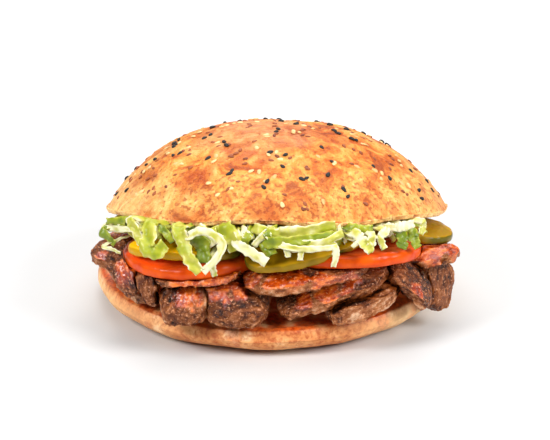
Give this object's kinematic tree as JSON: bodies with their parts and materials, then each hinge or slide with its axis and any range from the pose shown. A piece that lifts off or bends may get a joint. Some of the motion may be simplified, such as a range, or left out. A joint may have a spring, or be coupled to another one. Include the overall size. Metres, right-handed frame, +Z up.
{
  "type": "doner kebab sandwich",
  "caption": "Round seeded bun opened at the front and filled with shaved meat, tomato, pickle and shredded lettuce.",
  "frame": {"origin": "middle of the bun's flat underside", "axes": "+Z up, -Y the open front of the sandwich, +X to the right seen from the front"},
  "size_m": [0.1693, 0.1709, 0.0877],
  "materials": {
    "base_bread": "soft toasted bread, matt",
    "crust": "baked golden crust with black and pale seeds, faint sheen",
    "lettuce": "moist shredded leaf",
    "meat": "roast, fibrous, glossy where the sauce lies",
    "pickle": "wet",
    "tomato": "wet"
  },
  "bodies": {
    "root": {"bread_base": "base_bread", "bread_lid": "crust", "lettuce": "lettuce", "meat_pile": "meat", "meat_slice_01": "meat", "meat_slice_02": "meat", "meat_slice_03": "meat", "meat_slice_04": "meat", "meat_slice_05": "meat", "meat_slice_06": "meat", "meat_slice_07": "meat", "meat_slice_08": "meat", "meat_slice_09": "meat", "meat_slice_10": "meat", "meat_slice_11": "meat", "meat_slice_12": "meat", "meat_slice_13": "meat", "meat_slice_14": "meat", "meat_slice_15": "meat", "meat_slice_16": "meat", "meat_slice_17": "meat", "meat_slice_18": "meat", "pickle_slice_far_left": "pickle", "pickle_slice_left": "pickle", "pickle_slice_middle": "pickle", "pickle_slice_right": "pickle", "tomato_slice_back_left": "tomato", "tomato_slice_back_right": "tomato", "tomato_slice_left": "tomato", "tomato_slice_right": "tomato"}
  },
  "joints": []
}
